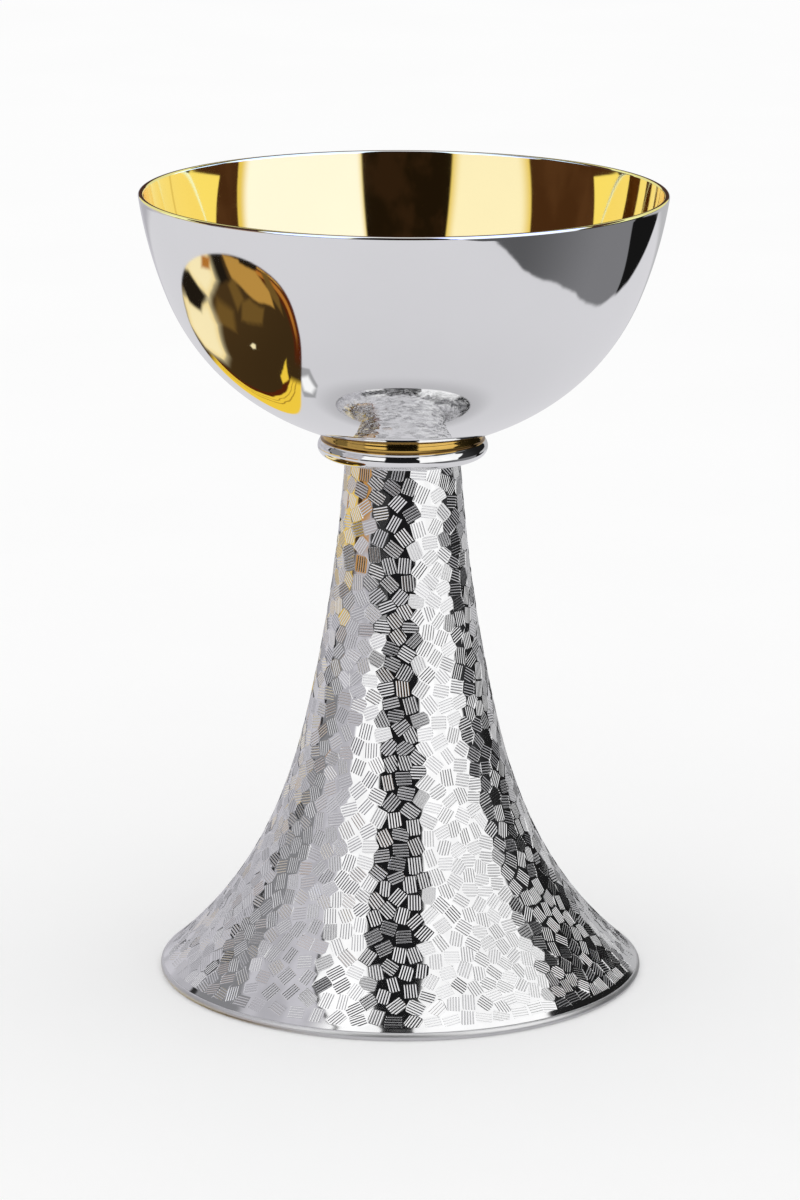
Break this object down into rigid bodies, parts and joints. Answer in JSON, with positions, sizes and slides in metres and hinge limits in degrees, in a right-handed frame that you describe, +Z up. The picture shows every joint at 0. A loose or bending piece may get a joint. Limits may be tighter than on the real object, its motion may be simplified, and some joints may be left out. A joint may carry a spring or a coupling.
{
  "type": "communion chalice",
  "caption": "Footed cup for communion wine: mirror silver bowl, gilt inside, screwed to a hollow trumpet foot covered in grooved punch marks, with a gilt ring in the collar.",
  "frame": {"origin": "centre of the base, on the table", "axes": "+Z up along the axis of the cup and foot; the object is a body of revolution, so X and Y are free, and -Y is taken as the front"},
  "size_m": [0.13, 0.13, 0.1982],
  "materials": {
    "mirror_silver": "mirror-polished silver",
    "punched_silver": "polished silver densely covered in grooved punch marks",
    "gilt": "mirror-polished gilding",
    "turned_brass": "turned brass, slightly dulled",
    "steel_stud": "stainless steel with a rolled thread"
  },
  "bodies": {
    "foot": {"foot_base_ring": "mirror_silver", "foot_shell": "punched_silver", "neck_bush": "turned_brass", "silver_collar_ring": "mirror_silver"},
    "gilt_ring": {"gilt_collar_ring": "gilt"},
    "cup": {"cup_boss": "turned_brass", "threaded_stud": "steel_stud", "cup_shell": "mirror_silver", "cup_lining": "gilt"}
  },
  "joints": [
    {"name": "cup_unscrew", "type": "hinge", "parent": "foot", "child": "gilt_ring", "pos_m": [0, 0, 0.1365], "axis": [0, 0, 1], "range_deg": [0, 2880]},
    {"name": "cup_lift", "type": "slide", "parent": "gilt_ring", "child": "cup", "axis": [0, 0, 1], "range_m": [0, 0.012]}
  ],
  "couplings": [
    {"joint": "cup_lift", "follows": "cup_unscrew", "m_per_rad": 0.00023873}
  ]
}
